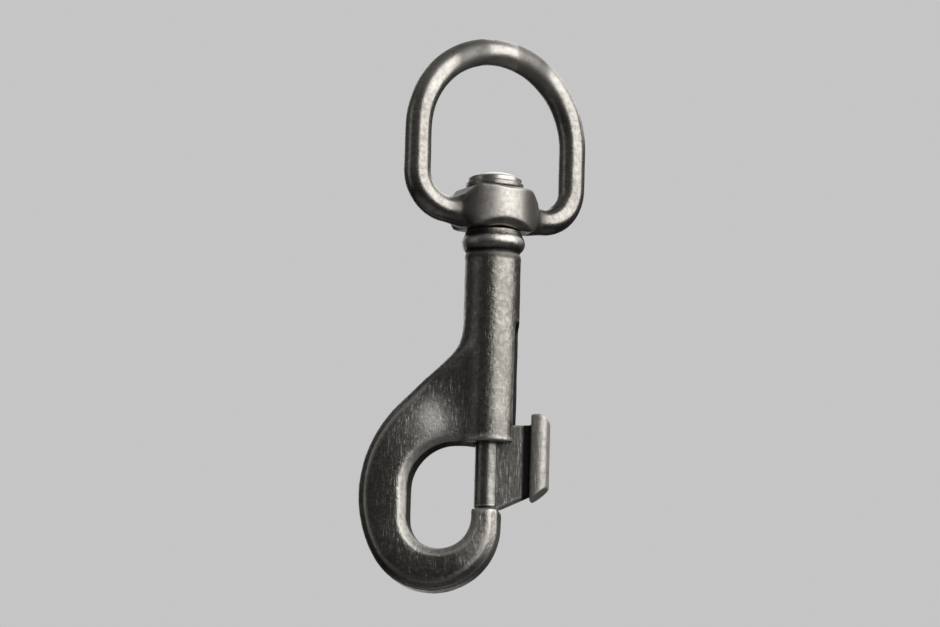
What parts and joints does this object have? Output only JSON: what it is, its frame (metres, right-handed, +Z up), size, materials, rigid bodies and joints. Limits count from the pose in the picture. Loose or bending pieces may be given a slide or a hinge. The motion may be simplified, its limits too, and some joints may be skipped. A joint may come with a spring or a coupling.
{
  "type": "swivel eye bolt snap",
  "caption": "Bolt snap with a swivelling rope eye: a fixed hook closed by a spring-loaded sliding bolt with a thumb piece.",
  "frame": {"origin": "centre of the rope eye's opening, on the swivel axis", "axes": "+Z up the swivel axis from hook to eye, +X towards the thumb piece, the hook lies in the XZ plane"},
  "size_m": [0.0328, 0.0214, 0.0871],
  "materials": {
    "worn_plate": "tarnished nickel plate over cast bronze, worn brighter on edges",
    "eye_plate": "dull nickel plate over cast bronze",
    "bright_plate": "nickel plate rubbed bright by sliding",
    "spring_steel": "drawn stainless wire"
  },
  "bodies": {
    "eye": {"swivel_eye": "eye_plate"},
    "hook": {"hook_body": "worn_plate", "swivel_rivet": "eye_plate", "head_washer": "eye_plate", "spring": "spring_steel"},
    "plunger": {"bolt": "bright_plate", "thumb_piece": "worn_plate"}
  },
  "joints": [
    {"name": "swivel", "type": "hinge", "parent": "eye", "child": "hook", "pos_m": [0, 0, -0.0157], "axis": [0, 0, 1], "continuous": true},
    {"name": "bolt_slide", "type": "slide", "parent": "hook", "child": "plunger", "axis": [0, 0, 1], "range_m": [0, 0.012], "stiffness_N_per_m": 1000, "springref_m": -0.008, "deforming": ["spring"]}
  ]
}
